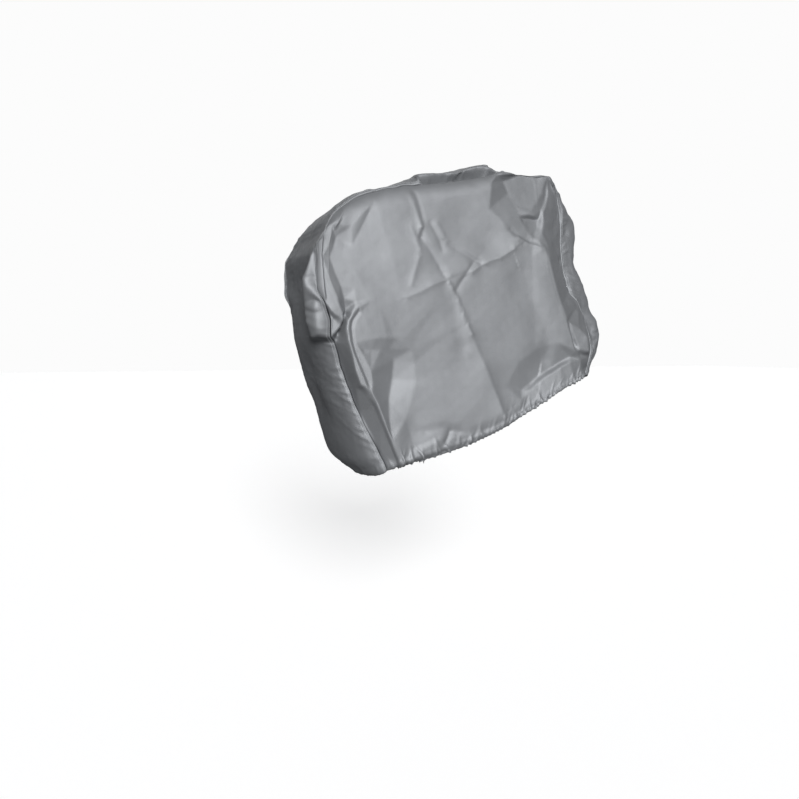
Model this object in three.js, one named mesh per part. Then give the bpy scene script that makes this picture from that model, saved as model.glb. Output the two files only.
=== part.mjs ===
// Fitted cover for an outboard motor, in coated woven polyester: two side panels sewn to one centre strip,
// hollow inside and open below at a gathered elastic hem. It stands as worn, with its crown tipped aft.
// X points forward, Y to port, Z up. Sections are measured from a datum 14 mm under the crown's inner face.
import * as THREE from "three";

// Driving dimensions, in millimetres.
const cloth = 2; // thickness of the cloth
const hemRoll = 4; // thickness of the hem, with its elastic
const hemDepth = 22; // height over which the hem thickens
const seamGap = 0.3; // gap between two panels along a seam
const sideOut = 185; // distance from the middle plane to the flat of each side panel
const crownRise = 14; // crown's inner face above the datum
const mapHalf = 155; // half the strip's width, where its folds are laid out flat
const seamEase = 14; // distance over which folds die out towards a seam
const mitreLimit = 0.6; // least cosine at which a seam's mitre still stretches the cloth's thickness

// How many cells each panel is divided into, and how many steps trace a section of the strip.
const cells = { alongHem: 36, upSide: 32, acrossStrip: 12 };
const sectionSteps = 96;
const endCrowding = 0.4; // how much closer together the cells are towards the seams

// Sections of the cover in order: up the aft face, over the crown, down the front face.
// side and up place the seam on both sides, out is its distance from the middle plane, midSide and midUp
// place the middle of the strip, and square says how boxy the strip's near half is (2 is round).
const sectionColumns = ["name", "side", "out", "up", "midSide", "midUp", "square"];
const sections = [
  ["aft hem", -234, 155, -706, -258, -732, 2.2],
  ["aft roll", -252, 152, -668, -308, -694, 2.4],
  ["aft low", -297, 144, -574, -350, -566, 2.6],
  ["aft middle", -333, 136, -478, -381, -476, 2.6],
  ["under the pouch", -349, 134, -406, -402, -410, 2.6],
  ["pouch lip", -351, 168, -414, -406, -394, 6],
  ["pouch", -358, 177, -376, -408, -370, 6],
  ["pouch shoulder", -384, 172, -330, -413, -322, 5],
  ["ear", -417, 156, -282, -420, -278, 3.4],
  ["aft shoulder", -400, 158, -218, -416, -212, 2.6],
  ["aft crown", -356, 158, -142, -374, -138, 2.4],
  ["crown start", -300, 160, -97, -302, -80, 2.4],
  ["crown low", -210, 163, -70, -212, -46, 2.4],
  ["crown", -120, 165, -55, -122, -12, 2.4],
  ["crown datum", -38, 165, -39, -26, 10, 2.4],
  ["peak", 22, 165, -24, 60, 26, 2.2],
  ["ear fold", 50, 158, -12, 92, 0, 2.2],
  ["ear back", 104, 142, -6, 140, -16, 2.2],
  ["ear tip", 204, 122, -5, 184, -34, 3],
  ["ear front", 232, 118, -62, 262, -54, 6],
  ["front shoulder", 247, 122, -128, 300, -106, 5],
  ["front high", 254, 130, -212, 310, -204, 2.6],
  ["front middle", 284, 132, -280, 336, -276, 2.4],
  ["front bulge", 314, 131, -352, 390, -344, 2.4],
  ["front low", 334, 130, -430, 406, -424, 2.4],
  ["front hem", 313, 136, -494, 346, -506, 2.2],
];

// The hem of a side panel, from the aft seam to the front seam.
const hemColumns = ["side", "out", "up"];
const hem = [
  [-234, 155, -706],
  [-208, 168, -697],
  [-115, 174, -676],
  [-38, 176, -654],
  [41, 175, -622],
  [120, 171, -580],
  [208, 163, -533],
  [264, 150, -506],
  [313, 136, -494],
];

// Width of the turned-in margin that joins the flat of a side panel to each of its four edges.
const margin = { aft: 33, front: 84, top: 62, hem: 46 };

// Folds of the near side panel, each a crest laid through points given as [side, up]. push is its height
// at its first and last point, out of the cloth or, below 0, into it. Looking along the crest, left and
// right are its spreads to each side, sharp is 1 for a crisp fold and 2 for a soft one, and lean moves the
// crest to its right within the cloth.
const foldColumns = ["name", "path", "push", "left", "right", "sharp", "lean"];
const nearFolds = [
  ["aft crease", [[-287, -525], [-233, -652], [-214, -698]], [8, 4], 26, 12, 1, 0],
  ["split crease aft", [[-350, -366], [-340, -393], [-328, -426], [-287, -520]], [14, 8], 10, 14, 1, 0],
  ["split crease fore", [[-272, -316], [-312, -372], [-314, -415], [-287, -520]], [5, 12], 12, 16, 1, 0],
  ["split valley", [[-330, -352], [-324, -400], [-312, -440]], [-22, -8], 8, 8, 2, 0],
  ["pocket", [[-296, -448], [-218, -440]], [-26, -16], 16, 84, 2, 0],
  ["pouch valley", [[-366, -250], [-350, -330], [-338, -372]], [-10, -30], 12, 22, 2, 0],
  ["pouch swell", [[-392, -236], [-376, -318]], [16, 12], 24, 16, 2, 0],
  ["upper swell", [[-306, -190], [-320, -325]], [12, 9], 18, 20, 2, 0],
  ["upper hollow", [[-266, -190], [-276, -320]], [-9, -6], 16, 20, 2, 0],
  ["centre crease", [[-161, -176], [-92, -262], [-27, -386], [27, -503], [68, -611]], [5, 8], 52, 14, 1, 0],
  ["cross crease", [[-289, -336], [-178, -309], [-97, -278]], [3, 5], 16, 24, 1, 0],
  ["front cross crease", [[-21, -229], [77, -192], [150, -178]], [5, 7], 26, 14, 1, 0],
  ["front hollow", [[60, -290], [108, -470]], [-12, -9], 46, 50, 2, 0],
  ["ear valley", [[44, -40], [75, -100], [111, -153], [150, -184]], [-18, -34], 30, 16, 1, 0],
  ["ear flap", [[92, -44], [118, -82]], [14, 24], 30, 26, 2, 8],
  ["ear slit", [[172, -50], [140, -114], [150, -166]], [-22, -34], 14, 12, 1, 0],
  ["ear corner", [[164, -190], [236, -118]], [8, 26], 18, 14, 1, 0],
  ["front crease", [[160, -190], [206, -311], [255, -437]], [9, 6], 18, 22, 1, 0],
  ["front triangle", [[262, -374], [286, -432]], [26, 34], 24, 22, 2, 0],
  ["triangle groove", [[246, -452], [298, -446]], [-16, -24], 10, 12, 1, 0],
  ["hem valley", [[60, -560], [150, -482], [236, -448]], [-16, -16], 22, 20, 2, 0],
  ["hem roll", [[74, -596], [122, -532], [190, -492], [262, -472]], [10, 15], 20, 26, 2, 0],
];

// Folds of the far side panel, in the same columns.
const farFolds = [
  ["corner crease", [[-300, -300], [-262, -470], [-214, -690]], [9, 3], 34, 22, 1, 0],
  ["centre crease", [[-120, -90], [-64, -300], [30, -610]], [2, 5], 30, 24, 1, 0],
  ["cross crease", [[-300, -330], [-80, -288], [170, -196]], [3, 3], 26, 22, 1, 0],
  ["drape high", [[-250, -110], [-330, -330]], [14, 16], 34, 40, 2, 0],
  ["drape hollow", [[-190, -150], [-215, -420]], [-12, -9], 36, 44, 2, 0],
  ["ear valley", [[60, -48], [96, -128], [168, -196]], [-12, -24], 26, 30, 1, 0],
  ["ear flap", [[98, -52], [142, -112]], [14, 24], 32, 30, 2, 0],
  ["front crease", [[170, -196], [214, -330], [262, -460]], [7, 4], 22, 24, 1, 0],
  ["front hollow", [[80, -260], [128, -470]], [-10, -8], 44, 46, 2, 0],
  ["hem roll", [[-90, -650], [60, -590], [190, -520]], [6, 10], 20, 26, 2, 0],
];

// Folds of the strip, in the same columns, laid through points given as [section, across]. Sections count
// from 0 at the aft hem, and across runs from -1 at the near seam to 1 at the far seam.
const stripFolds = [
  ["aft wrinkle low", [[1.4, -0.9], [2.2, -0.4], [2.7, 0.3]], [9, 5], 22, 30, 2, 0],
  ["aft wrinkle", [[2.6, -0.95], [3.2, -0.5], [3.5, 0]], [9, 4], 18, 26, 2, 0],
  ["under lip pucker", [[3.6, -0.92], [3.9, -0.5]], [8, 4], 14, 20, 2, 0],
  ["aft hollow", [[1.8, 0], [5, 0.1]], [-8, -6], 60, 60, 2, 0],
  ["ear hollow", [[7.4, -0.62], [8.8, -0.55]], [-14, -8], 24, 30, 2, 0],
  ["shoulder ridge", [[8.2, -0.5], [9.6, 0.1], [10.4, 0.8]], [8, 8], 20, 30, 2, 0],
  ["far corner ridge", [[5.6, 0.9], [7.6, 0.5]], [5, 2], 22, 26, 2, 0],
  ["crown cross fold", [[12.7, -0.9], [13.1, -0.2], [13, 0.7]], [-8, -6], 14, 20, 2, 0],
  ["crown pucker", [[14, -0.95], [14.2, -0.4]], [-6, -3], 12, 14, 2, 0],
  ["peak ridge near", [[15, 0], [15.8, -0.9]], [3, 8], 20, 16, 1, 0],
  ["peak ridge far", [[15, 0], [15.9, 0.9]], [3, 8], 20, 16, 1, 0],
  ["ear corner near", [[19.9, -0.98], [20, -0.5]], [8, 5], 24, 18, 1, 0],
  ["ear corner far", [[19.9, 0.98], [20, 0.5]], [8, 5], 24, 18, 1, 0],
  ["front crumple high", [[20.8, -0.7], [22.2, -0.35]], [12, 10], 16, 20, 2, 0],
  ["front crumple groove", [[21.2, -0.35], [23, -0.6]], [-10, -10], 12, 14, 2, 0],
  ["front crumple low", [[22.4, -0.75], [23.6, -0.3]], [12, 14], 18, 20, 2, 0],
  ["front crumple far", [[21.4, 0.6], [23.2, 0.3]], [12, 12], 20, 26, 2, 0],
  ["front swell", [[23, 0.1], [23.9, -0.1]], [8, 8], 50, 50, 2, 0],
];

const grey = 0x96999c;
const paleGrey = 0x8f9295;

const clamp = THREE.MathUtils.clamp;
const lerp = THREE.MathUtils.lerp;

// A smooth rise from 0 to 1.
function ease(t) {
  const c = clamp(t, 0, 1);
  return c * c * (3 - 2 * c);
}

// A table's rows as objects, by the names of its columns.
function named(columns, rows) {
  return rows.map((row) => Object.fromEntries(columns.map((column, i) => [column, row[i]])));
}

// The distance along a table's seam or hem at each row.
function lengths(rows) {
  const along = [0];
  for (let i = 1; i < rows.length; i++) {
    const [a, b] = [rows[i - 1], rows[i]];
    along.push(along[i - 1] + Math.hypot(b.side - a.side, b.out - a.out, b.up - a.up));
  }
  return along;
}

// A smooth curve through one column of a table, which never swings past a row's value.
function through(rows, along, column) {
  const value = rows.map((row) => row[column]);
  const rise = value.slice(1).map((v, i) => (v - value[i]) / (along[i + 1] - along[i]));
  const slope = value.map((v, i) => {
    if (i === 0) return rise[0];
    if (i === rise.length) return rise[i - 1];
    const [before, after] = [rise[i - 1], rise[i]];
    return before * after <= 0 ? 0 : (2 * before * after) / (before + after);
  });
  return (distance) => {
    let i = 0;
    while (i < rise.length - 1 && distance > along[i + 1]) i++;
    const span = along[i + 1] - along[i];
    const t = clamp((distance - along[i]) / span, 0, 1);
    const start = value[i] * (1 + 2 * t) + slope[i] * span * t;
    const end = value[i + 1] * (3 - 2 * t) + slope[i + 1] * span * (t - 1);
    return start * (1 - t) ** 2 + end * t ** 2;
  };
}

const sectionRows = named(sectionColumns, sections);
const seamAlong = lengths(sectionRows);
const seamLength = seamAlong[seamAlong.length - 1];
const seamSide = through(sectionRows, seamAlong, "side");
const seamOut = through(sectionRows, seamAlong, "out");
const seamUp = through(sectionRows, seamAlong, "up");
const midSide = through(sectionRows, seamAlong, "midSide");
const midUp = through(sectionRows, seamAlong, "midUp");
const squareness = through(sectionRows, seamAlong, "square");

const hemRows = named(hemColumns, hem);
const hemAlong = lengths(hemRows);
const hemLength = hemAlong[hemAlong.length - 1];
const hemSide = through(hemRows, hemAlong, "side");
const hemOut = through(hemRows, hemAlong, "out");
const hemUp = through(hemRows, hemAlong, "up");

const placeOf = (name) => seamAlong[sections.findIndex((section) => section[0] === name)];
const aftTop = placeOf("aft crown");
const frontTop = placeOf("ear tip");

// The far side has no pouch: its seam runs straight past those sections, and its half of the strip is round.
const farSquare = 2.6;
const pouchRows = ["pouch lip", "pouch", "pouch shoulder"];
const farKept = sectionRows.map((_, i) => i).filter((i) => !pouchRows.includes(sectionRows[i].name));
const farRows = farKept.map((i) => sectionRows[i]);
const farAlong = farKept.map((i) => seamAlong[i]);
const farSide = through(farRows, farAlong, "side");
const farOut = through(farRows, farAlong, "out");
const farUp = through(farRows, farAlong, "up");

// A point of the seam. hand is -1 on the near side and 1 on the far side.
function seamPoint(distance, hand) {
  if (hand < 0) return new THREE.Vector3(seamSide(distance), -seamOut(distance), seamUp(distance));
  return new THREE.Vector3(farSide(distance), farOut(distance), farUp(distance));
}

function hemPoint(t, hand) {
  const distance = t * hemLength;
  return new THREE.Vector3(hemSide(distance), hand * hemOut(distance), hemUp(distance));
}

// Where a point lies against a fold's crest: its distance, on which side, and how far along.
function againstCrest(fold, x, y) {
  let best = { distance: Infinity };
  const last = fold.path.length - 1;
  for (let i = 0; i < last; i++) {
    const [ax, ay] = fold.path[i];
    const [dx, dy] = [fold.path[i + 1][0] - ax, fold.path[i + 1][1] - ay];
    const t = clamp(((x - ax) * dx + (y - ay) * dy) / (dx * dx + dy * dy), 0, 1);
    const [px, py] = [x - ax - t * dx, y - ay - t * dy];
    const distance = Math.hypot(px, py);
    if (distance < best.distance) {
      const length = Math.hypot(dx, dy);
      best = { distance, onLeft: dx * py - dy * px > 0, along: (i + t) / last };
      best.right = [dy / length, -dx / length];
    }
  }
  return best;
}

// How far the folds of a table push a point out of the cloth and, by their lean, within it.
function foldsAt(folds, x, y) {
  const moved = { out: 0, x: 0, y: 0 };
  for (const fold of folds) {
    const crest = againstCrest(fold, x, y);
    const spread = crest.onLeft ? fold.left : fold.right;
    const share = Math.exp(-((crest.distance / spread) ** fold.sharp));
    moved.out += share * lerp(fold.push[0], fold.push[1], crest.along);
    moved.x += share * fold.lean * crest.right[0];
    moved.y += share * fold.lean * crest.right[1];
  }
  return moved;
}

// A point of a side panel: u runs forward from the aft seam, v up from the hem.
function sidePoint(u, v, hand, folds) {
  const aft = seamPoint(v * aftTop, hand);
  const front = seamPoint(seamLength - v * (seamLength - frontTop), hand);
  const top = seamPoint(lerp(aftTop, frontTop, u), hand);
  const low = hemPoint(u, hand);
  const corners = [hemPoint(0, hand), hemPoint(1, hand), seamPoint(aftTop, hand), seamPoint(frontTop, hand)];
  const point = new THREE.Vector3();
  for (const axis of ["x", "y", "z"]) {
    const edges = lerp(aft[axis], front[axis], u) + lerp(low[axis], top[axis], v);
    const below = lerp(corners[0][axis], corners[1][axis], u);
    const above = lerp(corners[2][axis], corners[3][axis], u);
    point[axis] = edges - lerp(below, above, v);
  }
  const wide = aft.distanceTo(front);
  const high = low.distanceTo(top);
  const inFromAft = clamp((u * wide) / margin.aft, 0, 1);
  const inFromFront = clamp(((1 - u) * wide) / margin.front, 0, 1);
  const belowTop = clamp(((1 - v) * high) / margin.top, 0, 1);
  const aboveHem = clamp((v * high) / margin.hem, 0, 1);
  const flat = inFromAft * inFromFront * belowTop * (2 - belowTop) * aboveHem * (2 - aboveHem);
  const fromSeam = Math.min(u * wide, (1 - u) * wide, (1 - v) * high);
  const moved = foldsAt(folds, point.x, point.z);
  const share = ease(fromSeam / seamEase);
  point.x += share * moved.x;
  point.z += share * moved.y;
  point.y = lerp(point.y, hand * sideOut, flat) + hand * share * moved.out;
  return point;
}

// The strip's line across the cover at a distance along the seam, as evenly spaced points.
function stripSection(distance, count) {
  const near = seamPoint(distance, -1);
  const far = seamPoint(distance, 1);
  const middle = new THREE.Vector3(midSide(distance), 0, midUp(distance));
  const nearSquare = squareness(distance);
  const line = [];
  for (let i = 0; i <= sectionSteps; i++) {
    const angle = (i / sectionSteps) * Math.PI;
    const seam = i < sectionSteps / 2 ? near : far;
    const power = 2 / (i < sectionSteps / 2 ? nearSquare : farSquare);
    const depth = Math.sin(angle) ** power;
    const across = Math.abs(Math.cos(angle)) ** power;
    const point = seam.clone().lerp(middle, depth);
    line.push(point.setY(seam.y * across));
  }
  line[0].copy(near);
  line[sectionSteps].copy(far);
  const along = [0];
  for (let i = 1; i <= sectionSteps; i++) along.push(along[i - 1] + line[i].distanceTo(line[i - 1]));
  const points = [];
  let at = 0;
  for (let i = 0; i <= count; i++) {
    const wanted = (along[sectionSteps] * i) / count;
    while (at < sectionSteps - 1 && along[at + 1] < wanted) at++;
    const t = (wanted - along[at]) / (along[at + 1] - along[at]);
    points.push(line[at].clone().lerp(line[at + 1], clamp(t, 0, 1)));
  }
  return points;
}

// Normals of a grid of points: each cell's own, weighed by its area, added up at its corners.
function gridNormals(grid) {
  const normals = grid.map((row) => row.map(() => new THREE.Vector3()));
  for (let j = 0; j < grid.length - 1; j++) {
    for (let i = 0; i < grid[j].length - 1; i++) {
      const rising = grid[j + 1][i + 1].clone().sub(grid[j][i]);
      const falling = grid[j + 1][i].clone().sub(grid[j][i + 1]);
      const cell = rising.cross(falling);
      for (const [a, b] of [[j, i], [j, i + 1], [j + 1, i], [j + 1, i + 1]]) normals[a][b].add(cell);
    }
  }
  for (const row of normals) row.forEach((normal) => normal.normalize());
  return normals;
}

// Spaces n cells from 0 to 1, closer together towards both ends, where the folds are small.
function closerAtEnds(n) {
  const turn = 2 * Math.PI;
  return Array.from({ length: n + 1 }, (_, i) => i / n - (endCrowding / turn) * Math.sin((turn * i) / n));
}
const across = closerAtEnds(cells.alongHem);
const upward = closerAtEnds(cells.upSide);

// Distances along the strip at each row: up the aft seam, over the top and down the front seam.
const rows = [
  ...upward.map((v) => v * aftTop),
  ...across.slice(1).map((u) => lerp(aftTop, frontTop, u)),
  ...upward.slice(1).map((v) => lerp(frontTop, seamLength, v)),
];

// A side panel's grid of points, its rows running forward and its columns up.
function sideGrid(hand, folds) {
  const grid = [];
  for (let j = 0; j <= cells.upSide; j++) {
    const row = [];
    for (let i = 0; i <= cells.alongHem; i++) {
      row.push(sidePoint(across[i], upward[j], hand, folds));
    }
    grid.push(row);
  }
  return grid;
}

// The strip's grid of points, one row for each distance along the seam.
function stripGrid() {
  const laidFlat = ([number, t]) => [sectionPlace(number), t * mapHalf];
  const mapped = named(foldColumns, stripFolds).map((fold) => ({ ...fold, path: fold.path.map(laidFlat) }));
  const base = rows.map((distance) => stripSection(distance, cells.acrossStrip));
  const normals = gridNormals(base);
  return base.map((row, j) =>
    row.map((point, i) => {
      const t = (2 * i) / cells.acrossStrip - 1;
      const moved = foldsAt(mapped, rows[j], t * mapHalf);
      const share = ease(((1 - Math.abs(t)) * mapHalf) / seamEase);
      return point.clone().addScaledVector(normals[j][i], -share * moved.out);
    }),
  );
}

// The distance along the seam of a section number with its fraction.
function sectionPlace(number) {
  const i = clamp(Math.floor(number), 0, seamAlong.length - 2);
  return lerp(seamAlong[i], seamAlong[i + 1], number - i);
}

// The places of the strip's row j in a side panel's grid.
function seamCell(j) {
  const top = cells.upSide + cells.alongHem;
  if (j <= cells.upSide) return [j, 0];
  if (j <= top) return [cells.upSide, j - cells.upSide];
  return [cells.upSide - (j - top), cells.alongHem];
}

// Thickness of the cloth at a distance from the hem, where the elastic is rolled in.
function thickness(fromHem) {
  return lerp(hemRoll, cloth, ease(fromHem / hemDepth));
}

// The wall of one panel: its outer points, and its inner points one thickness behind them.
function wall(grid, facing, fromHem) {
  const normals = gridNormals(grid);
  const outer = grid.map((row) => row.map((point) => point.clone()));
  const inner = grid.map((row, j) =>
    row.map((point, i) => point.clone().addScaledVector(normals[j][i], -facing * thickness(fromHem(j, i)))),
  );
  return { outer, inner, normals, facing, fromHem };
}

// Cuts a side panel and the strip along the plane that halves the angle between them at each point of
// their seam, so that both walls end there face to face, one seam gap apart.
function mitreSeam(side, strip, column) {
  const inward = column === 0 ? 1 : column - 1;
  const line = rows.map((_, j) => strip.outer[j][column].clone());
  for (let j = 0; j < rows.length; j++) {
    const [sj, si] = seamCell(j);
    const across = side.normals[sj][si].clone().multiplyScalar(side.facing);
    const over = strip.normals[j][column].clone().multiplyScalar(strip.facing);
    const middle = across.clone().add(over).normalize();
    const stretch = 1 / Math.max(middle.dot(over), mitreLimit);
    const along = line[Math.min(j + 1, rows.length - 1)].clone().sub(line[Math.max(j - 1, 0)]);
    const apart = along.cross(middle).normalize();
    if (apart.dot(strip.outer[j][inward].clone().sub(line[j])) < 0) apart.negate();
    const depth = thickness(strip.fromHem(j)) * stretch;
    for (const [panel, a, b, way] of [[side, sj, si, -1], [strip, j, column, 1]]) {
      panel.outer[a][b].copy(line[j]).addScaledVector(apart, (way * seamGap) / 2);
      panel.inner[a][b].copy(panel.outer[a][b]).addScaledVector(middle, -depth);
    }
  }
}

// One closed shell from a panel's outer and inner points.
function shell(panel) {
  const [high, wide] = [panel.outer.length, panel.outer[0].length];
  const points = [...panel.outer.flat(), ...panel.inner.flat()];
  const skin = high * wide;
  const index = [];
  const face = (a, b, c) => index.push(...(panel.facing > 0 ? [a, b, c] : [a, c, b]));
  const quad = (a, b, c, d) => {
    if (points[a % skin].distanceTo(points[c % skin]) <= points[b % skin].distanceTo(points[d % skin])) {
      face(a, b, c);
      face(a, c, d);
    } else {
      face(a, b, d);
      face(b, c, d);
    }
  };
  for (let j = 0; j < high - 1; j++) {
    for (let i = 0; i < wide - 1; i++) {
      const [a, b, c, d] = [j * wide + i, j * wide + i + 1, (j + 1) * wide + i + 1, (j + 1) * wide + i];
      quad(a, b, c, d);
      quad(skin + d, skin + c, skin + b, skin + a);
    }
  }
  const rim = [];
  for (let i = 0; i < wide - 1; i++) rim.push(i);
  for (let j = 0; j < high - 1; j++) rim.push(j * wide + wide - 1);
  for (let i = wide - 1; i > 0; i--) rim.push((high - 1) * wide + i);
  for (let j = high - 1; j > 0; j--) rim.push(j * wide);
  rim.forEach((a, n) => {
    const b = rim[(n + 1) % rim.length];
    face(b, a, skin + a);
    face(b, skin + a, skin + b);
  });
  const geometry = new THREE.BufferGeometry();
  geometry.setAttribute("position", new THREE.Float32BufferAttribute(points.flatMap((p) => p.toArray()), 3));
  geometry.setIndex(index);
  geometry.computeVertexNormals();
  return geometry;
}

function fabric(name, color) {
  return new THREE.MeshStandardMaterial({ name, color, roughness: 0.62, metalness: 0 });
}

const sideFromHem = (j, i) => upward[j] * lerp(aftTop, seamLength - frontTop, across[i]);
const stripFromHem = (j) => Math.min(rows[j], seamLength - rows[j]);

const nearPanel = wall(sideGrid(-1, named(foldColumns, nearFolds)), 1, sideFromHem);
const farPanel = wall(sideGrid(1, named(foldColumns, farFolds)), -1, sideFromHem);
const strip = wall(stripGrid(), -1, stripFromHem);
mitreSeam(nearPanel, strip, 0);
mitreSeam(farPanel, strip, cells.acrossStrip);

const cover = new THREE.Group();
const panels = [
  ["near_side_panel", nearPanel, grey],
  ["far_side_panel", farPanel, grey],
  ["centre_strip", strip, paleGrey],
];
for (const [name, panel, color] of panels) {
  const mesh = new THREE.Mesh(shell(panel), fabric(`${name} cloth`, color));
  mesh.name = name;
  cover.add(mesh);
}
cover.position.z = -crownRise;

export default cover;
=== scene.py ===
import math

import bpy
import numpy as np
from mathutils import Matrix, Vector
from mathutils.geometry import delaunay_2d_cdt


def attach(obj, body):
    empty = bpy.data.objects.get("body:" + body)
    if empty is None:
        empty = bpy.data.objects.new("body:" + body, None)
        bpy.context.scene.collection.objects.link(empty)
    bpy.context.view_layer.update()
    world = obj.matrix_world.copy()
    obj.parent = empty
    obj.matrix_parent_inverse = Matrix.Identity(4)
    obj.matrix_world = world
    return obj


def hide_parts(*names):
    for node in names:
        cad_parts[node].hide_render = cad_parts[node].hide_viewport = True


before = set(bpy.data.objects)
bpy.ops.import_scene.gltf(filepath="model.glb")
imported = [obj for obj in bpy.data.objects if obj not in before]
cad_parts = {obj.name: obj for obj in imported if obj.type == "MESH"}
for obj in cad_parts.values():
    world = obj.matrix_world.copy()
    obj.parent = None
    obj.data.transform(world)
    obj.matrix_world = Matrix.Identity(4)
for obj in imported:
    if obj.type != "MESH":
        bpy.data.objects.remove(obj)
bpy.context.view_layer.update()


# Near side panel
# One cut of coated woven polyester, sewn on three edges to the centre strip and turned up at its hem over a
# drawn elastic. It hangs nearly flat, turned in to its seams fore and aft, with the creases that it was
# packed in and folds where the stiff cloth finds nothing to fill it.

# Sizes are in millimetres from the cutting datum, 14 mm under the crown. A side panel hangs side_out from
# the middle plane, folds die away within seam_ease of a seam, and the elastic draws in the last hem_margin.
MM = 0.001
crown_rise = 14.0
side_out = 185.0
seam_ease = 5.0
hem_margin = 46.0

# Sections of the cover in order, up the aft face, over the crown and down the front face: where the seam
# lies (forward, out from the middle plane, up), where the strip's middle lies (forward, up), how boxy the
# strip's near half is (2 is round), and how far in from the seam a side panel is turned to meet it.
SECTIONS = [
    ("aft hem", -234, 155, -706, -258, -732, 2.0, 34),
    ("aft roll", -252, 152, -668, -308, -694, 2.0, 38),
    ("aft low", -297, 144, -574, -350, -566, 2.0, 44),
    ("aft middle", -333, 136, -478, -381, -476, 2.0, 34),
    ("under the pouch", -350, 135, -416, -398, -412, 2.2, 30),
    ("pouch foot", -356, 137, -402, -399, -398, 2.6, 30),
    ("pouch", -368, 142, -372, -399, -366, 2.6, 30),
    ("under the lip", -376, 146, -348, -397, -342, 2.6, 30),
    ("lip", -381, 148, -334, -395, -328, 2.6, 30),
    ("flap", -402, 156, -288, -391, -282, 2.6, 32),
    ("flap high", -400, 158, -222, -396, -222, 2.6, 34),
    ("aft shoulder", -382, 159, -180, -378, -176, 2.4, 38),
    ("aft crown", -356, 160, -142, -364, -142, 2.4, 44),
    ("crown start", -300, 160, -97, -302, -84, 2.4, 54),
    ("crown low", -210, 163, -70, -212, -54, 2.4, 56),
    ("crown", -120, 165, -55, -122, -16, 2.4, 50),
    ("crown datum", -38, 165, -39, -36, 2, 2.4, 46),
    ("peak", 22, 165, -24, 56, 26, 2.2, 44),
    ("ear fold", 50, 158, -12, 80, 2, 2.2, 44),
    ("ear back", 104, 142, -6, 130, -18, 2.2, 50),
    ("ear tip", 204, 122, -5, 184, -36, 3, 60),
    ("ear front", 232, 118, -62, 262, -54, 4, 84),
    ("front shoulder", 247, 122, -128, 300, -106, 4, 96),
    ("front high", 254, 130, -212, 310, -204, 2.6, 92),
    ("front middle", 276, 132, -280, 330, -276, 2.4, 92),
    ("front step", 294, 132, -316, 346, -322, 2.4, 92),
    ("front bulge", 316, 131, -362, 388, -362, 2.4, 92),
    ("front low", 334, 130, -430, 402, -426, 2.4, 84),
    ("front hem", 313, 136, -494, 346, -506, 2.2, 60),
]

# Where the pouch, the ear and the front margin pull the near seam: section, forward, out, up.
NEAR_SEAM = [
    ("under the pouch", -354, 148, -416),
    ("pouch foot", -370, 175, -403),
    ("pouch", -372, 177, -372),
    ("under the lip", -378, 177, -348),
    ("lip", -385, 185, -334),
    ("flap", -402, 180, -292),
    ("flap high", -396, 180, -206),
    ("aft shoulder", -382, 176, -177),
    ("aft crown", -361, 168, -144),
    ("ear back", 106, 151, -14),
    ("ear tip", 190, 146, -8),
    ("ear front", 229, 127, -61),
    ("front shoulder", 244, 120, -128),
    ("front high", 248, 122, -212),
    ("front middle", 266, 124, -280),
]

# The hem of a side panel from the aft seam to the front seam: forward, out, up.
HEM = [
    (-234, 155, -706),
    (-208, 168, -697),
    (-115, 174, -676),
    (-38, 176, -654),
    (41, 175, -622),
    (120, 171, -580),
    (208, 163, -533),
    (264, 150, -506),
    (313, 136, -494),
]

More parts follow.
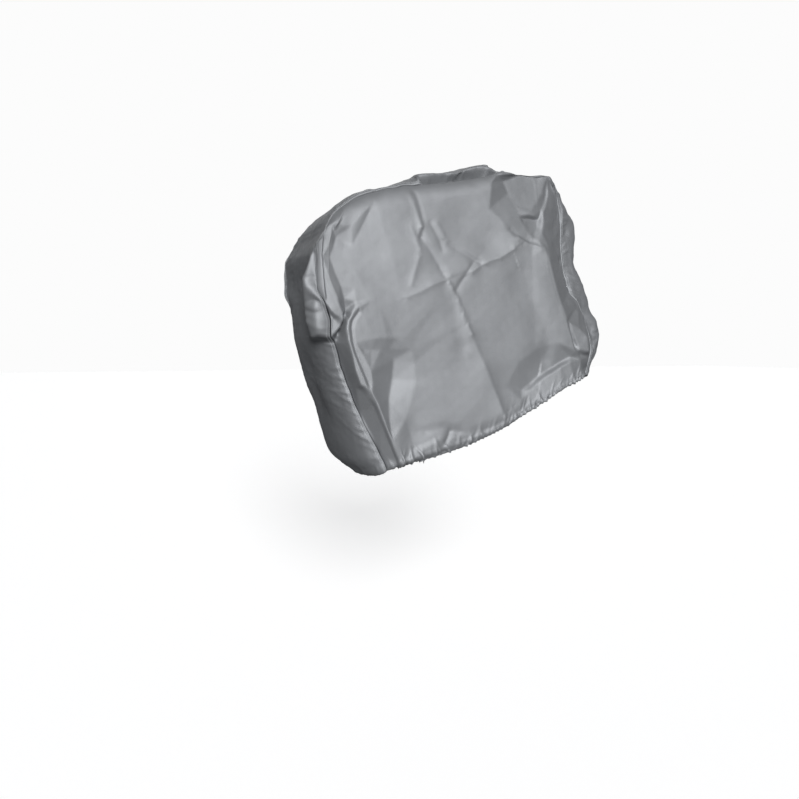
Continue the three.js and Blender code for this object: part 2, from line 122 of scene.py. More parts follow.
# Facets that the stiff cloth of the near side panel stands in, each line a crease through points (forward,
# up, out). Between the creases the cloth is flat. A point without an out is where it lies as cut.
NEAR_FACETS = [
    ("below the crown", [(-385, -163), (-345, -125), (-270, -104), (-160, -86), (-60, -68), (14, -46)]),
    ("flap edge", [(-368, -166, 183), (-371, -188, 184), (-377, -211, 184), (-391, -235, 184),
                   (-379, -271, 188), (-368, -300, 189), (-357, -327, 189), (-346, -355, 188),
                   (-344, -369, 187)]),
    ("flap valley", [(-361, -163), (-358, -190, 178), (-365, -214, 180), (-373, -235, 180),
                     (-363, -265, 181), (-350, -294, 181), (-341, -322, 178), (-336, -345, 172),
                     (-334, -360, 168)]),
    ("fore of the flap", [(-324, -166), (-323, -208, 181), (-323, -251, 181), (-319, -298, 182),
                          (-316, -328, 184)]),
    ("lip", [(-383, -340, 186), (-377, -347, 188), (-364, -357, 188), (-350, -365, 187)]),
    ("under the lip", [(-374, -352, 177), (-364, -363, 178), (-355, -374, 180)]),
    ("pouch edge", [(-350, -365, 187), (-348, -374, 184), (-351, -384, 182), (-360, -395, 179),
                    (-368, -402, 176)]),
    ("under the pouch", [(-341, -358, 168), (-343, -373, 158), (-347, -388, 152), (-352, -404, 149),
                         (-354, -416, 148), (-333, -478, 136), (-297, -574, 144), (-252, -668, 152),
                         (-234, -706, 155)]),
    ("split aft", [(-282, -323), (-308, -337, 188), (-326, -352, 188), (-336, -367, 188),
                   (-339, -383, 188), (-335, -412, 190), (-326, -447, 191), (-318, -482, 192),
                   (-307, -510, 192), (-295, -518, 191), (-286, -527, 189), (-272, -553, 189),
                   (-255, -594, 188), (-237, -635, 187), (-212, -691, 183)]),
    ("margin", [(-345, -400, 168), (-344, -417, 170), (-333, -451, 167), (-324, -485, 166),
                (-312, -515, 168), (-292, -531, 181), (-273, -556, 181), (-256, -597, 181),
                (-237, -638, 180), (-213, -692, 175)]),
    ("split groove", [(-310, -349, 183), (-323, -367, 182), (-327, -383, 183), (-324, -410, 185),
                      (-317, -438, 187), (-303, -471, 188), (-292, -498, 188), (-288, -511, 189)]),
    ("left of the groove", [(-314, -349, 187), (-329, -368, 187), (-332, -383, 188), (-331, -410, 190),
                            (-323, -439, 192), (-310, -472, 193), (-299, -498, 193),
                            (-293, -513, 193)]),
    ("split fore", [(-305, -352, 186), (-316, -367, 186), (-320, -391, 186), (-317, -417, 188),
                    (-299, -447, 189), (-283, -479, 190), (-279, -506, 190), (-284, -517, 192)]),
    ("crease side", [(-282, -526, 193), (-267, -552, 192), (-250, -593, 191), (-231, -634, 189),
                     (-207, -690, 186)]),
    ("pocket top", [(-317, -417, 188), (-294, -412, 187), (-271, -407, 187), (-245, -404, 187),
                    (-224, -405)]),
    ("pocket brow", [(-298, -432, 185), (-281, -433, 183), (-257, -431, 181), (-236, -429, 180),
                     (-223, -430, 180)]),
    ("pocket floor", [(-224, -405), (-223, -430, 180), (-224, -454, 172), (-227, -499, 167),
                      (-237, -544, 173), (-239, -584, 181.5), (-235, -620)]),
    ("fore of the pocket", [(-195, -396), (-186, -430, 182.5), (-178, -459, 180), (-174, -500, 178.5),
                            (-184, -545, 180.5), (-199, -589, 184)]),
    ("round the pocket", [(-262, -336), (-200, -330), (-130, -334), (-50, -370), (0, -440), (-10, -545),
                          (-100, -625), (-176, -655)]),
    ("ear crease", [(32, -24), (55, -35, 158.1), (66, -63, 163.8), (80, -89, 168.7), (93, -115, 173.7),
                    (104, -135, 175), (118, -153, 177), (131, -167, 180), (144, -180, 184),
                    (157, -189, 188)]),
    ("ear top", [(32, -24), (106, -14, 151), (190, -8, 146), (229, -61, 127), (244, -128, 120),
                 (248, -212, 122), (266, -280, 124), (294, -316, 132), (316, -362, 131),
                 (334, -430, 130), (313, -494, 136)]),
    ("aft of the ear", [(-62, -80), (-28, -92), (8, -108), (36, -127), (58, -148), (77, -170),
                        (95, -189), (122, -208)]),
    ("ear ledge", [(93, -115, 173.7), (121, -110, 173), (136, -112, 171)]),
    ("ear ledge foot", [(104, -120, 167), (124, -118, 163), (143, -118, 160)]),
    ("ear edge", [(190, -8, 146), (170, -44, 154.7), (153, -70, 161.3), (132, -96, 167.8),
                  (121, -110, 173)]),
    ("slit", [(190, -8, 146), (185, -49, 145), (175, -74, 152), (162, -95, 158), (156, -115, 159),
              (148, -138, 166), (133, -162, 177)]),
    ("slit fore side", [(190, -8, 146), (188, -52, 149), (180, -76, 156), (165, -98, 163),
                        (159, -118, 165), (151, -141, 171), (138, -166, 181)]),
    ("ear tongue", [(164, -123, 169), (157, -149, 176), (145, -175, 184)]),
    ("under the ear", [(244, -128, 120), (196, -168, 158), (171, -182, 180), (157, -189, 188)]),
    ("front crease", [(157, -189, 188), (172, -218, 188), (193, -280, 187), (212, -325, 186),
                      (224, -356, 186), (251, -434, 187)]),
    ("groove", [(231, -363, 178), (239, -382, 172), (250, -407, 169), (255, -425, 172)]),
    ("triangle", [(237, -368, 180), (266, -378, 178), (291, -399, 177), (300, -437, 176),
                  (268, -433, 179), (248, -397, 178), (237, -368, 180)]),
    ("triangle fold", [(251, -434, 187), (275, -443, 166), (315, -449, 150)]),
    ("roll dip", [(99, -552), (101, -530, 179), (129, -515, 175), (157, -495, 174), (189, -479, 173),
                  (214, -464, 173), (240, -451, 176), (251, -434, 187)]),
    ("roll", [(111, -562, 182), (113, -540, 183), (129, -526, 184), (154, -504, 184), (183, -487, 184),
              (210, -472, 184), (238, -459, 183), (274, -454, 176)]),
    ("above the roll", [(40, -590), (58, -520), (90, -462), (140, -430), (196, -412)]),
    ("hem of the roll", [(60, -616), (94, -600, 183), (122, -583, 187), (166, -558, 189),
                         (210, -536, 188), (250, -516, 182), (280, -505, 170)]),
]

# Smaller folds of the near side panel: name, crest through points (forward, up), push, left, right, sharp.
# push is its height at the first and last point, out of the cloth or, below 0, into it. Looking along the
# crest, left and right are its spreads to each side, and sharp is 1 for a crisp fold and 2 for a soft one.
NEAR_FOLDS = [
    ("crown twig 1", [(-190, -86), (-182, -105), (-172, -130), (-163, -158)], (0.8, 3), 10, 5, 1),
    ("crown twig 1 back", [(-163, -158), (-171, -183)], (3, 1), 6, 5, 1),
    ("crown twig 2", [(-176, -82), (-166, -110), (-156, -147), (-161, -180)], (-2, -2), 5, 6, 1),
    ("crown twig 3", [(-187, -157), (-175, -187), (-166, -209)], (1.5, 2), 6, 5, 1),
    ("twig foot", [(-168, -225), (-178, -258), (-187, -287)], (2, 2), 7, 7, 1),
    ("centre crease high", [(-163, -180), (-139, -208), (-117, -240), (-99, -272)], (-3, -5), 6, 14, 1),
    ("centre crease", [(-99, -272), (-71, -317), (-45, -374), (-37, -397)], (3, 3), 5, 6, 1),
    ("centre crease low", [(-37, -397), (-5, -464), (14, -507), (33, -548), (55, -606)], (4, 9), 16, 70, 1),
    ("aft of the centre", [(-92, -285), (-76, -358), (-58, -420)], (-1, -3), 18, 24, 2),
    ("cross crease", [(-99, -271), (-134, -285), (-166, -302), (-194, -314)], (3, 2), 8, 14, 1),
    ("crown twig 4", [(-139, -148), (-129, -165), (-119, -180), (-109, -206)], (-2, -2), 5, 6, 1),
    ("crown twig 5", [(-124, -149), (-110, -170), (-100, -187)], (1.5, 2), 6, 6, 1),
    ("crown twig 6", [(-104, -186), (-62, -208), (-13, -231)], (-2.5, -4), 6, 12, 1),
    ("crossing twig", [(-33, -234), (-60, -272), (-76, -296)], (-2.8, -2.4), 9, 5, 1),
    ("front cross crease", [(-36, -252), (-15, -238), (11, -225), (37, -217), (74, -194)], (4, 4), 16, 9, 1),
    ("hollow under the crown", [(-150, -140), (-70, -150), (0, -176)], (-2, -5), 46, 46, 2),
    ("corner twig", [(88, -168), (120, -181), (146, -188)], (4, 3), 5, 7, 1),
    ("corner twig dark", [(66, -150), (96, -166), (118, -174)], (-3, -3), 8, 8, 1),
    ("front hollow", [(98, -254), (138, -336), (172, -412), (164, -450)], (-3, -7), 26, 44, 2),
    ("high soft dip", [(-311, -108), (-325, -155), (-335, -198)], (-1.5, -2), 14, 16, 2),
    ("band one", [(-316, -220), (-324, -312)], (1.0, 1.6), 24, 22, 2),
    ("band two", [(-280, -200), (-288, -310)], (0.8, 1.0), 24, 30, 2),
    ("twig dip", [(-156, -262), (-126, -265)], (-1, -1), 16, 14, 2),
    ("low dip", [(-190, -560), (-178, -600), (-188, -660)], (-2, -4), 30, 26, 2),
    ("hem dip", [(-150, -618), (-105, -612), (-69, -624)], (-2, -3), 14, 8, 2),
    ("hem pucker", [(-88, -622), (-100, -646)], (-5, -5), 5, 7, 1),
]
crest_round = 1.2


def lengths(points):
    """The distance along a line of points at each point."""
    steps = np.linalg.norm(np.diff(np.asarray(points, float), axis=0), axis=-1)
    return np.concatenate([[0.0], np.cumsum(steps)])


def through(along, values):
    """A smooth curve through the values, which never swings past any of them."""
    along, values = np.asarray(along, float), np.asarray(values, float)
    rise = np.diff(values) / np.diff(along)
    before, after = rise[:-1], rise[1:]
    total = np.where(before * after > 0, before + after, 1)
    bend = np.where(before * after > 0, 2 * before * after / total, 0)
    slope = np.concatenate([rise[:1], bend, rise[-1:]])

    def curve(distance):
        i = np.clip(np.searchsorted(along, distance, side="right") - 1, 0, len(rise) - 1)
        span = along[i + 1] - along[i]
        t = np.clip((distance - along[i]) / span, 0, 1)
        start = values[i] * (1 + 2 * t) + slope[i] * span * t
        end = values[i + 1] * (3 - 2 * t) + slope[i + 1] * span * (t - 1)
        return start * (1 - t) ** 2 + end * t**2

    return curve


def line_through(along, points):
    """A smooth line in space through the points, by the distance along it."""
    curves = [through(along, column) for column in zip(*points)]
    return lambda distance: np.stack([curve(distance) for curve in curves], axis=-1)


def mix(a, b, t):
    return a + (b - a) * t


def ease(t):
    """A smooth rise from 0 to 1."""
    t = np.clip(t, 0, 1)
    return t * t * (3 - 2 * t)


def ripples(x, y, waves, seed, count=14):
    """Soft uneven waves, about 1 high, in every direction and of lengths between the two in waves."""
    draw = np.random.default_rng(seed)
    total = np.zeros(np.broadcast(x, y).shape)
    for _ in range(count):
        turn, phase = draw.uniform(0, 2 * math.pi, 2)
        length = draw.uniform(*waves)
        total += np.sin((x * math.cos(turn) + y * math.sin(turn)) * 2 * math.pi / length + phase)
    return total * math.sqrt(2 / count)


crease_wander = 0.35


def crumple(x, y, waves, seed, count=5):
    """Crisp uneven facets, about 1 high, as stiff cloth takes when it is crushed."""
    draw = np.random.default_rng(seed)
    total = np.zeros(np.broadcast(x, y).shape)
    for _ in range(count):
        turn, phase = draw.uniform(0, 2 * math.pi), draw.uniform(0, 2)
        length = draw.uniform(*waves)
        wander = ripples(x, y, (2 * waves[0], 2 * waves[1]), int(draw.integers(1 << 30)), count=4)
        step = (x * math.cos(turn) + y * math.sin(turn)) / length + phase + crease_wander * wander
        total += 2 * np.abs(np.mod(step, 2) - 1) - 1
    return total / math.sqrt(count)


seam_along = lengths([row[1:4] for row in SECTIONS])
seam_length = seam_along[-1]
place_of = {row[0]: seam_along[i] for i, row in enumerate(SECTIONS)}
aft_top, front_top = place_of["aft crown"], place_of["ear tip"]
near_places = {row[0]: row[1:4] for row in SECTIONS} | {name: place for name, *place in NEAR_SEAM}
seam_lines = {
    -1: line_through(seam_along, list(near_places.values())),
    1: line_through(seam_along, [row[1:4] for row in SECTIONS]),
}
hem_along = lengths(HEM)
hem_line = line_through(hem_along, HEM)
seam_turn = through(seam_along, [row[7] for row in SECTIONS])
seam_stray, stray_waves, stray_reach = 0.7, (34.0, 110.0), 50.0


def plain_seam(distance, hand):
    """The seam at a distance along it, as cut: hand is -1 on the near side and 1 on the far side."""
    return seam_lines[1](distance) * np.array([1, hand, 1])


def seam_point(distance, hand):
    """The seam as it is sewn, a little uneven, and on the near side with the pouch."""
    point = seam_lines[hand](distance) * np.array([1, hand, 1])
    for axis in range(3):
        point[..., axis] += seam_stray * ripples(distance, 0.0, stray_waves, 40 + axis + hand, count=8)
    return point


def folds_at(folds, x, y):
    """How far a table of folds pushes each point out of the cloth."""
    out = np.zeros(x.shape)
    for _, path, push, left, right, sharp in folds:
        nearest = np.full(x.shape, np.inf)
        on_left, along = np.zeros(x.shape, bool), np.zeros(x.shape)
        for i, ((ax, ay), (bx, by)) in enumerate(zip(path, path[1:])):
            dx, dy = bx - ax, by - ay
            t = np.clip(((x - ax) * dx + (y - ay) * dy) / (dx * dx + dy * dy), 0, 1)
            px, py = x - ax - t * dx, y - ay - t * dy
            distance = np.hypot(px, py)
            closer = distance < nearest
            nearest = np.where(closer, distance, nearest)
            on_left = np.where(closer, dx * py - dy * px > 0, on_left)
            along = np.where(closer, (i + t) / (len(path) - 1), along)
        rounded = np.hypot(nearest, crest_round) - crest_round if sharp < 2 else nearest
        falling = np.exp(-((rounded / np.where(on_left, left, right)) ** sharp))
        out += falling * mix(push[0], push[1], along)
    return out


def net_at(lines, x, y):
    """The heights of creases through points (x, y, height), with flat facets stretched between them."""
    corners = [Vector(point[:2]) for line in lines for point in line]
    heights = [np.asarray(point[2], float) for line in lines for point in line]
    ends = np.cumsum([len(line) for line in lines])
    edges = [(i, i + 1) for i in range(len(corners) - 1) if i + 1 not in ends]
    places, _, faces, origins, *_ = delaunay_2d_cdt(corners, edges, [], 0, 0.01)
    height = [heights[origin[0]] for origin in origins]
    field = np.zeros(x.shape + heights[0].shape)
    for a, b, c in faces:
        (ax, ay), (bx, by), (cx, cy) = places[a], places[b], places[c]
        area = (bx - ax) * (cy - ay) - (cx - ax) * (by - ay)
        to_b = ((x - ax) * (cy - ay) - (cx - ax) * (y - ay)) / area
        to_c = ((bx - ax) * (y - ay) - (x - ax) * (by - ay)) / area
        inside = (to_b >= 0) & (to_c >= 0) & (to_b + to_c <= 1)
        rise_b, rise_c = height[b] - height[a], height[c] - height[a]
        over_b, over_c = to_b[inside], to_c[inside]
        field[inside] = height[a] + np.multiply.outer(over_b, rise_b) + np.multiply.outer(over_c, rise_c)
    return field


def facets_at(facets, x, y, own):
    """How far a table of facets pushes each point of the cloth from own, the out where it lies as cut.

    A facet whose corners all state an out is flat. One whose corners state none keeps the cloth's shape.
    """
    lines = []
    for _, line in facets:
        lines.append([])
        for px, py, *out in line:
            nearest = np.unravel_index(np.argmin((x - px) ** 2 + (y - py) ** 2), x.shape)
            lies = own[nearest]
            lines[-1].append((px, py, (out[0] - lies, lies, 1) if out else (0, lies, 0)))
    push, lies, fixed = np.moveaxis(net_at(lines, x, y), -1, 0)
    return push + fixed * (lies - own)


def softened(field, times):
    """A grid of values with each one evened out with its neighbours, so many times."""
    for _ in range(times):
        for axis in (0, 1):
            across_it = np.moveaxis(field, axis, 0)
            before = np.concatenate([across_it[:1], across_it[:-1]])
            after = np.concatenate([across_it[1:], across_it[-1:]])
            field = np.moveaxis((before + 2 * across_it + after) / 4, 0, axis)
    return field


def outward(points, hand):
    """The direction out of the cloth at each point of a grid, from the cells around it by their area."""
    rising = points[1:, 1:] - points[:-1, :-1]
    falling = points[1:, :-1] - points[:-1, 1:]
    cell = np.cross(rising, falling) * hand
    total = np.zeros(points.shape)
    for rows in (slice(None, -1), slice(1, None)):
        for columns in (slice(None, -1), slice(1, None)):
            total[rows, columns] += cell
    return total / np.linalg.norm(total, axis=-1, keepdims=True)


# Each gather's gap to the last, reach above the hem, width, lean to the side for each millimetre up and
# height are drawn between the two values.
hem_channel, channel_swell = 15.0, 2.2
gather_gap, gather_reach, gather_width = (8.0, 15.0), (9.0, 30.0), (2.4, 3.8)
gather_lean, gather_height = (-0.5, 0.8), (0.8, 3.4)


def gathers(along, above, length, strength, seed):
    """The puckers that a drawn elastic leaves above a hem, and the swell of the channel that holds it."""
    draw = np.random.default_rng(seed)
    out = channel_swell * np.exp(-(((above - hem_channel / 2) / (hem_channel / 2)) ** 4))
    place = 0.0
    while place < length:
        place += draw.uniform(*gather_gap)
        reach, width = draw.uniform(*gather_reach), draw.uniform(*gather_width)
        lean, height = draw.uniform(*gather_lean), draw.uniform(*gather_height)
        off = (along - place - lean * above) / width
        out += height * strength(place / length) * np.exp(-(off**2) - (above / reach) ** 2)
    return out


# The facets are evened out facet_rounding times. Everywhere the cloth billows slowly and lies a little
# uneven, each by a height and between two wave lengths, and within front_reach of the front seam it is
# crumpled, as cloth is where it is often pulled.
facet_rounding = 1
billow, billow_waves = 0.6, (80, 260)
uneven, uneven_waves = 0.07, (16, 46)
front_crush, front_reach, front_waves = 1.5, 110.0, (22.0, 60.0)

# The cells of a side panel lie closer together by the aft seam and high up, where its creases are finest.
cells_along_hem, cells_up_side = 236, 198
across = through([0, 0.26, 0.58, 1], [0, 0.17, 0.57, 1])(np.linspace(0, 1, cells_along_hem + 1))
upward = through([0, 0.34, 1], [0, 0.4, 1])(np.linspace(0, 1, cells_up_side + 1))


def side_panel(hand, facets, folds, gathering, seed):
    """A side panel's points, row by row from the hem up, each row forward from the aft seam."""
    u, v = np.meshgrid(across, upward)
    aft_place, front_place = v * aft_top, seam_length - v * (seam_length - front_top)
    top_place = mix(aft_top, front_top, u)
    places = (aft_place, front_place, top_place)
    aft, front, top = (plain_seam(place, hand) for place in places)
    low = hem_line(u * hem_along[-1]) * np.array([1, hand, 1])
    below = mix(aft[:1, :1], front[:1, :1], u[..., None])
    above = mix(aft[-1:, :1], front[-1:, :1], u[..., None])
    points = mix(aft, front, u[..., None]) + mix(low, top, v[..., None]) - mix(below, above, v[..., None])
    wide = np.linalg.norm(front - aft, axis=-1)
    high = np.linalg.norm(top - low, axis=-1)
    from_aft, from_front, from_top, from_hem = u * wide, (1 - u) * wide, (1 - v) * high, v * high
    below_top = np.clip(from_top / seam_turn(top_place), 0, 1)
    above_hem = np.clip(from_hem / hem_margin, 0, 1)
    fore_of_seam = np.clip(from_aft / seam_turn(aft_place), 0, 1)
    aft_of_seam = np.clip(from_front / seam_turn(front_place), 0, 1)
    flat = fore_of_seam * aft_of_seam * below_top * (2 - below_top) * above_hem * (2 - above_hem)
    points[..., 1] = mix(points[..., 1], hand * side_out, flat)

    # The seam's own straying dies away into the panel.
    fade = [ease(1 - away / stray_reach)[..., None] for away in (from_aft, from_front, from_top)]
    strays = [seam_point(place, hand) - plain_seam(place, hand) for place in places]
    points += strays[0] * fade[0] + strays[1] * fade[1] + strays[2] * fade[2]
    points -= strays[0][-1:, :1] * fade[0] * fade[2] + strays[1][-1:, :1] * fade[1] * fade[2]

    share = ease(np.minimum(np.minimum(from_aft, from_front), from_top) / seam_ease)
    x, z = points[..., 0].copy(), points[..., 2].copy()
    out = softened(facets_at(facets, x, z, hand * points[..., 1]), facet_rounding)
    out += folds_at(folds, x, z)
    points[..., 1] += hand * share * out
    fine = billow * ripples(x, z, billow_waves, seed) + uneven * ripples(x, z, uneven_waves, seed + 1)
    fine += gathers(u * hem_along[-1], from_hem, hem_along[-1], gathering, seed + 2)
    fine += front_crush * ease(1 - from_front / front_reach) * crumple(x, z, front_waves, seed + 3)
    return points + outward(points, -hand) * (share * fine)[..., None]


sheet_gauge = 0.9
hem_turn, hem_turned_up = 1.6, 11.0


def turned_hem(points, out_of_cloth, last=False):
    """Rows that roll the grid's first row, or its last, in and up to the inside as a turned hem."""
    if last:
        points, out_of_cloth = points[::-1], out_of_cloth[::-1]
    edge, inner, normal = points[0], points[1], out_of_cloth[0]
    down = edge - inner
    down /= np.linalg.norm(down, axis=-1, keepdims=True)
    rows = []
    for turn in (math.pi / 3, 2 * math.pi / 3, math.pi):
        rows.append(edge + hem_turn * ((math.cos(turn) - 1) * normal + math.sin(turn) * down))
    rows.append(rows[-1] - hem_turned_up * down)
    return np.stack(rows)


def add_piece(name, mesh):
    """Puts a mesh into the scene as a piece, and selects that piece alone."""
    piece = bpy.data.objects.new(name, mesh)
    bpy.context.collection.objects.link(piece)
    bpy.ops.object.select_all(action="DESELECT")
    piece.select_set(True)
    bpy.context.view_layer.objects.active = piece
    return piece


def sheet(name, points, out_of_cloth, material):
    """A thin closed sheet of cloth from a grid of points, its UV map laid flat in metres."""
    high, wide, _ = points.shape
    place = (points - np.array([0, 0, crown_rise])) * MM
    index = np.arange(high * wide).reshape(high, wide)
    corners = [index[:-1, :-1], index[:-1, 1:], index[1:, 1:], index[1:, :-1]]
    quads = np.stack(corners, axis=-1).reshape(-1, 4)
    faces_in = np.sum(outward(points, 1)[high // 2, wide // 2] * out_of_cloth[high // 2, wide // 2]) < 0
    if faces_in:
        quads = quads[:, ::-1]
    mesh = bpy.data.meshes.new(name)
    mesh.from_pydata(place.reshape(-1, 3).tolist(), [], quads.tolist())
    mesh.polygons.foreach_set("use_smooth", [True] * len(mesh.polygons))
    along_row, along_column = lengths(place[high // 2]), lengths(place[:, wide // 2])
    cut = np.stack(np.meshgrid(along_row, along_column), axis=-1).reshape(-1, 2)
    layer = mesh.uv_layers.new(name="cut")
    layer.data.foreach_set("uv", cut[quads.reshape(-1)].ravel())
    mesh.materials.append(material)
    piece = add_piece(name, mesh)
    gauge = piece.modifiers.new("gauge", "SOLIDIFY")
    gauge.thickness = sheet_gauge * MM
    gauge.offset = -1
    bpy.ops.object.modifier_apply(modifier=gauge.name)
    return piece


def srgb(code):
    """A hex colour as the linear colour that a shader takes."""
    parts = [int(code[i : i + 2], 16) / 255 for i in (1, 3, 5)]
    return (*[c / 12.92 if c <= 0.04045 else ((c + 0.055) / 1.055) ** 2.4 for c in parts], 1)


def add_node(tree, kind, settings=None, inputs=None):
    """Adds a node. inputs gives its sockets, by name or number, a value or the output that feeds them."""
    made = tree.nodes.new(kind)
    for name, value in (settings or {}).items():
        setattr(made, name, value)
    for name, value in (inputs or {}).items():
        if isinstance(value, bpy.types.NodeSocket):
            tree.links.new(value, made.inputs[name])
        else:
            made.inputs[name].default_value = value
    return made


def coated_woven_polyester(name, code):
    """Polyester woven plain and coated inside: half matt, with the silvery gloss of flat filaments."""
    material = bpy.data.materials.new(name)
    material.use_nodes = True
    tree = material.node_tree
    shader = tree.nodes["Principled BSDF"]
    shader.inputs["Roughness"].default_value = 0.56
    shader.inputs["Metallic"].default_value = 0.5
    shader.inputs["Specular IOR Level"].default_value = 0.5
    place = add_node(tree, "ShaderNodeTexCoord")
    cut = add_node(tree, "ShaderNodeUVMap", {"uv_map": "cut"})
    # The threads are 0.55 mm apart on the real cloth. They are drawn 1.6 mm apart, so that they show.
    thread_pitch = 1.6 * MM
    bands = [
        add_node(
            tree,
            "ShaderNodeTexWave",
            {"bands_direction": way, "wave_profile": "SIN"},
            {"Vector": cut.outputs["UV"], "Scale": math.pi / 10 / thread_pitch, "Distortion": 0.0},
        )
        for way in ("X", "Y")
    ]
    over = add_node(
        tree, "ShaderNodeTexChecker", None, {"Vector": cut.outputs["UV"], "Scale": 1 / thread_pitch}
    )
    weave = add_node(
        tree,
        "ShaderNodeMix",
        {"data_type": "FLOAT"},
        {"Factor": over.outputs["Fac"], "A": bands[0].outputs["Fac"], "B": bands[1].outputs["Fac"]},
    )
    # Handling and packing leave the coating a little lighter and darker in patches, 30 to 150 mm across.
    patches = add_node(
        tree,
        "ShaderNodeTexNoise",
        None,
        {"Vector": place.outputs["Object"], "Scale": 9.0, "Detail": 5.0, "Roughness": 0.6},
    )
    tint = add_node(tree, "ShaderNodeValToRGB", None, {"Fac": patches.outputs["Fac"]})
    for stop, (position, share) in zip(tint.color_ramp.elements, ((0.3, 0.93), (0.7, 1.06))):
        stop.position = position
        stop.color = tuple(share * c for c in srgb(code)[:3]) + (1,)
    tree.links.new(tint.outputs["Color"], shader.inputs["Base Color"])
    bump = add_node(
        tree,
        "ShaderNodeBump",
        None,
        {"Strength": 0.35, "Distance": 0.0004, "Height": weave.outputs[0]},
    )
    tree.links.new(bump.outputs["Normal"], shader.inputs["Normal"])
    return material


side_cloth = coated_woven_polyester("woven polyester side", "#86888B")

# How strongly the near hem is gathered, by the share of the way along it from the aft seam.
near_gathering = through(
    [0, 0.1, 0.3, 0.45, 0.6, 0.7, 0.76, 0.82, 0.88, 1], [1.2, 2.0, 2.2, 1.2, 1.6, 3.4, 1.0, 0.5, 3.0, 2.6]
)


def panel_sheet(name, hand, facets, folds, gathering, seed):
    """A side panel with its turned hem."""
    points = side_panel(hand, facets, folds, gathering, seed)
    out_of_cloth = outward(points, -hand)
    hem = turned_hem(points, out_of_cloth)[::-1]
    hemmed = np.concatenate([hem, points])
    facing = np.concatenate([np.repeat(out_of_cloth[:1], len(hem), axis=0), out_of_cloth])
    return sheet(name, hemmed, facing, side_cloth)


near_panel = panel_sheet("near_side_cloth", -1, NEAR_FACETS, NEAR_FOLDS, near_gathering, 11)
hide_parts("near_side_panel")
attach(near_panel, "root")


# Far side panel
# The mirror of the near side panel, cut from the same cloth and sewn and hemmed in the same way. It has no
# pouch over its seam, and it hangs with fewer and softer folds.

# Facets and folds as for the near side panel, left and right as they are seen from the near side.
FAR_FACETS = [
    ("ear ridge", [(60, -12), (68, -60, 190), (92, -120, 200), (150, -190, 192)]),
    ("ear ridge foot", [(20, -34), (34, -90, 178), (70, -150, 174), (110, -176, 180)]),
    ("ear dip", [(196, -14), (172, -64, 140), (150, -120, 158)]),
    ("ear fore side", [(208, -30), (190, -66, 158), (168, -116, 176)]),
    ("under the ear", [(247, -130), (196, -166, 166), (150, -190, 192)]),
    ("front crease", [(150, -190, 192), (182, -248, 187), (204, -320, 187), (244, -430, 186)]),
    ("aft of the corner", [(40, -176), (96, -184, 188), (150, -190, 192)]),
    ("roll dip", [(96, -540, 181), (150, -486, 174), (236, -440, 172)]),
    ("roll", [(106, -562, 190), (160, -506, 196), (246, -456, 186)]),
    ("round the roll", [(50, -570), (110, -450), (210, -400)]),
    ("below the roll", [(90, -598), (160, -540, 180), (262, -486, 168)]),
]
FAR_FOLDS = [
    ("corner crease", [(-300, -300), (-262, -470), (-214, -690)], (9, 3), 34, 22, 1),
    ("centre crease", [(-120, -90), (-64, -300), (30, -610)], (-4, 7), 20, 40, 1),
    ("cross crease", [(-300, -330), (-80, -288), (140, -196)], (4, 5), 20, 14, 1),
    ("drape high", [(-250, -110), (-330, -330)], (14, 16), 34, 40, 2),
    ("drape hollow", [(-190, -150), (-215, -420)], (-12, -9), 36, 44, 2),
    ("front hollow", [(80, -260), (128, -430)], (-10, -10), 28, 30, 2),
    ("crown twig", [(-160, -90), (-128, -170), (-70, -215)], (4, 4), 6, 10, 1),
    ("crossing twig", [(-40, -215), (-84, -300)], (-4, -4), 7, 10, 1),
]
far_gathering = through([0, 0.3, 0.6, 0.8, 1], [0.4, 0.8, 0.6, 1.1, 0.9])
far_panel = panel_sheet("far_side_cloth", 1, FAR_FACETS, FAR_FOLDS, far_gathering, 23)
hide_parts("far_side_panel")
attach(far_panel, "root")


# Centre strip
# One long strip of the same cloth, sewn between the side panels from the aft hem, over the crown, to the
# front hem. Its edges are felled over the side panels' seam allowances and topstitched, which pulls small
# puckers into it, and it sags and crumples where the panels' corners stand off.

# The strip's half width on the flat map that its folds are laid on, and how boxy its far half is.
map_half = 155.0
far_square = 2.6

# Folds of the strip, as NEAR_FOLDS, each a crest through points (section number, place across).
STRIP_FOLDS = [
    ("aft hollow", [(2, 0), (5, 0.1)], (-8, -6), 60, 60, 2),
]

